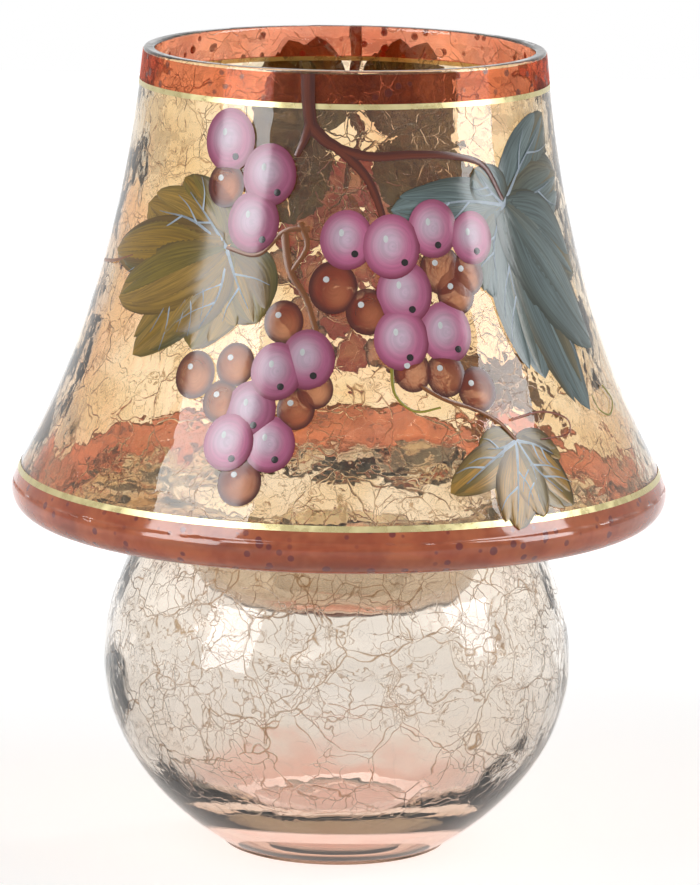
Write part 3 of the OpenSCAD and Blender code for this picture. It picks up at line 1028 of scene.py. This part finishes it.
def bunch(pinks, browns, draw):
    for turn, z, radius in browns:
        lift = 0.46 + draw.uniform(0, 0.03)
        disc(BROWN_GRAPES, turn, z, radius * 1.04, 0.22, lift, brown_colour(draw), draw, squash=1.1)
        glint = beside(turn, z, -0.30 * radius, 0.34 * radius)
        disc(DOTS, *glint, 0.75, 0.03, lift + 0.24, plain(GLINT), draw, rings=2, around=12)
    for number, (turn, z, radius) in enumerate(pinks):
        lift = 0.52 + 0.05 * (number % 6)
        disc(PINK_GRAPES, turn, z, radius * 1.06, 0.25, lift, pink_colour(draw), draw, squash=1.13)
        glint = beside(turn, z, -0.22 * radius, 0.28 * radius)
        disc(DOTS, *glint, 0.6, 0.03, lift + 0.26, plain(GLINT), draw, rings=2, around=12, squash=1.5)
        dot = beside(turn, z, draw.uniform(0.15, 0.45) * radius, -draw.uniform(0.55, 0.70) * radius)
        disc(DOTS, *dot, 0.85, 0.03, lift + 0.22, plain(BLACK), draw, rings=2, around=12)


bunch(FRONT_PINK, FRONT_BROWN, draw)
bunch(BACK_PINK, BACK_BROWN, draw)
PINK_GRAPES.piece(fruit_enamel)
BROWN_GRAPES.piece(fruit_enamel)
DOTS.piece(fruit_enamel)

# %% [markdown]
# Three bands go right round. A clear coral stain colours the rim, two gold lines border the
# crackled part, and an opaque orange enamel covers the rolled hem, speckled like a salt glaze.

# %% Bands
BAND_FOOT, BAND_LINE, BAND_LINE_LOW = 193.0, 191.7, 191.0
HEM_LINE_TOP, HEM_LINE = 96.6, 95.2
AROUND_BAND = 240


def band(name, profile, material, rider=True):
    """Turns an open outline of distance and height, in metres, into a thin band."""
    profile = np.array(profile)
    angle = np.linspace(0, math.tau, AROUND_BAND, endpoint=False)
    vertices = [(r * math.sin(a), -r * math.cos(a), z) for r, z in profile for a in angle]
    faces = grid_faces(len(profile), AROUND_BAND, closed=True)
    mesh = bpy.data.meshes.new(name)
    mesh.from_pydata(vertices, [], faces)
    mesh.shade_smooth()
    mesh.materials.append(material)
    made = bpy.data.objects.new(name, mesh)
    bpy.context.scene.collection.objects.link(made)
    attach(made, "shade")
    return made


def wall_strip(low, high, lift, rows):
    strip = []
    for z in np.linspace(low, high, rows):
        place = on_shade(0, z, lift)
        strip.append((-place.y, place.z))
    return strip


def stained(name, deep, light, specks, cover, roughness):
    material, tree, output = start_material(name)
    place = node(tree, "TexCoord").outputs["Object"]
    cloudy = noise(tree, place, 90.0, 3.0, 0.6).outputs["Fac"]
    spots = node(tree, "TexVoronoi", {"Vector": place, "Scale": 380.0, "Randomness": 1.0}).outputs
    size = node(tree, "SeparateColor", {0: spots["Color"]}).outputs[0]
    spot = ease(tree, math_node(tree, "SUBTRACT", spots["Distance"],
                                math_node(tree, "MULTIPLY", size, 0.42)), 0.05, -0.08)
    spot = math_node(tree, "MULTIPLY", spot, ease(tree, size, 0.55, 0.8))
    colour = mix_colour(tree, ease(tree, cloudy, 0.35, 0.65), deep, light)
    colour = mix_colour(tree, spot, colour, specks)
    thick = node(tree, "Bump", {"Strength": 1.0, "Distance": 1.0,
                                "Height": math_node(tree, "MULTIPLY", cloudy, 0.0001)}).outputs[0]
    surface = node(tree, "BsdfPrincipled", {"Base Color": colour, "Roughness": roughness, "Coat Weight": 0.6,
                                            "Coat Roughness": 0.05, "Normal": thick}).outputs[0]
    clear = node(tree, "BsdfTransparent", {"Color": mix_colour(tree, 0.8, (1, 1, 1, 1), colour)}).outputs[0]
    share = math_node(tree, "MULTIPLY_ADD", spot, 1.0 - cover, cover)
    # Seen from inside, the light that comes through the enamel counts for more
    inside = node(tree, "NewGeometry").outputs["Backfacing"]
    share = math_node(tree, "MULTIPLY", share, math_node(tree, "MULTIPLY_ADD", inside, -0.6, 1.0))
    tree.links.new(node(tree, "MixShader", {0: share, 1: clear, 2: surface}).outputs[0], output["Surface"])
    return material


coral = stained("coral_stain", (*paint(176, 84, 54), 1), (*paint(206, 116, 84), 1),
                (*paint(120, 30, 16), 1), 0.26, 0.1)
orange = stained("orange_enamel", (*paint(158, 66, 28), 1), (*paint(186, 96, 52), 1),
                 (*paint(112, 24, 14), 1), 0.80, 0.1)

gold, tree, output = start_material("gold_line")
place = node(tree, "TexCoord").outputs["Object"]
worn = noise(tree, place, 300.0, 2.0).outputs["Fac"]
surface = node(tree, "BsdfPrincipled", {
    "Base Color": mix_colour(tree, worn, (0.55, 0.47, 0.22, 1), (0.72, 0.64, 0.36, 1)),
    "Metallic": 0.9, "Roughness": ease(tree, worn, 0.3, 0.7, 0.22, 0.4)}).outputs[0]
tree.links.new(surface, output["Surface"])

rim_top = SEAT_Z + SHADE_RISE - RIM_EDGE
band("coral_band", wall_strip(BAND_FOOT - 0.2, rim_top / MM - 0.1, 0.0, 12), coral)
band("gold_line_upper", wall_strip(BAND_LINE, BAND_FOOT, 0.05, 4), gold)
band("gold_line_lower", wall_strip(HEM_LINE, HEM_LINE_TOP, 0.05, 4), gold)
hem_strip = wall_strip(wall_r(0) and WALL[0][1] / MM, HEM_LINE + 0.1, 0.0, 6)[::-1]
hem_strip += [tuple(point) for point in shade_hem()[:26]]
band("hem_enamel", hem_strip, orange)
print("bands ready")

# %% [markdown]
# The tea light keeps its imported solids, whose shapes are right. They get the finishes of
# pressed aluminium, wax, tinned steel and a cotton wick.

# %% Tea light materials
def plain_material(name, colour, **sockets):
    material, tree, output = start_material(name)
    place = node(tree, "TexCoord").outputs["Object"]
    surface = node(tree, "BsdfPrincipled", {"Base Color": colour})
    for label, value in sockets.items():
        surface.inputs[label.replace("_", " ")].default_value = value
    tree.links.new(surface.outputs[0], output["Surface"])
    return material, tree, place, surface


def give(piece, material):
    piece.data.materials.clear()
    piece.data.materials.append(material)
    for face in piece.data.polygons:
        face.material_index = 0


def bumped(tree, surface, height, depth):
    scaled = math_node(tree, "MULTIPLY", height, depth)
    bump = node(tree, "Bump", {"Strength": 1.0, "Distance": 1.0, "Height": scaled}).outputs[0]
    tree.links.new(bump, surface.inputs["Normal"])


aluminium, tree, place, surface = plain_material("cup_aluminium", (0.86, 0.85, 0.83, 1), Metallic=1.0)
brushed = node(tree, "Mapping", {"Vector": place, "Scale": (900.0, 900.0, 9000.0)}).outputs[0]
grain = noise(tree, brushed, 1.0, 2.0).outputs["Fac"]
tree.links.new(ease(tree, grain, 0.2, 0.8, 0.18, 0.34), surface.inputs["Roughness"])
bumped(tree, surface, grain, 0.00001)
give(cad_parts["tealight_cup"], aluminium)

wax, tree, place, surface = plain_material("wax", (0.93, 0.91, 0.86, 1), Roughness=0.42,
                                           Subsurface_Weight=0.25, Subsurface_Scale=0.003)
mottle = noise(tree, place, 500.0, 3.0).outputs["Fac"]
tree.links.new(mix_colour(tree, mottle, (0.95, 0.93, 0.88, 1), (0.88, 0.86, 0.80, 1)), surface.inputs["Base Color"])
bumped(tree, surface, mottle, 0.00006)
give(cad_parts["tealight_wax"], wax)

steel, tree, place, surface = plain_material("sustainer_steel", (0.62, 0.62, 0.63, 1), Metallic=1.0)
tree.links.new(ease(tree, noise(tree, place, 900.0).outputs["Fac"], 0.3, 0.7, 0.25, 0.45),
               surface.inputs["Roughness"])
give(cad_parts["wick_sustainer"], steel)

cotton, tree, place, surface = plain_material("wick_cotton", (0.88, 0.85, 0.78, 1), Roughness=0.85)
braid = node(tree, "TexWave", {"Vector": place, "Scale": 420.0, "Distortion": 2.0},
             wave_type="BANDS", bands_direction="DIAGONAL").outputs["Fac"]
tree.links.new(mix_colour(tree, braid, (0.70, 0.66, 0.58, 1), (0.92, 0.89, 0.82, 1)), surface.inputs["Base Color"])
bumped(tree, surface, braid, 0.0002)
give(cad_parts["wick"], cotton)
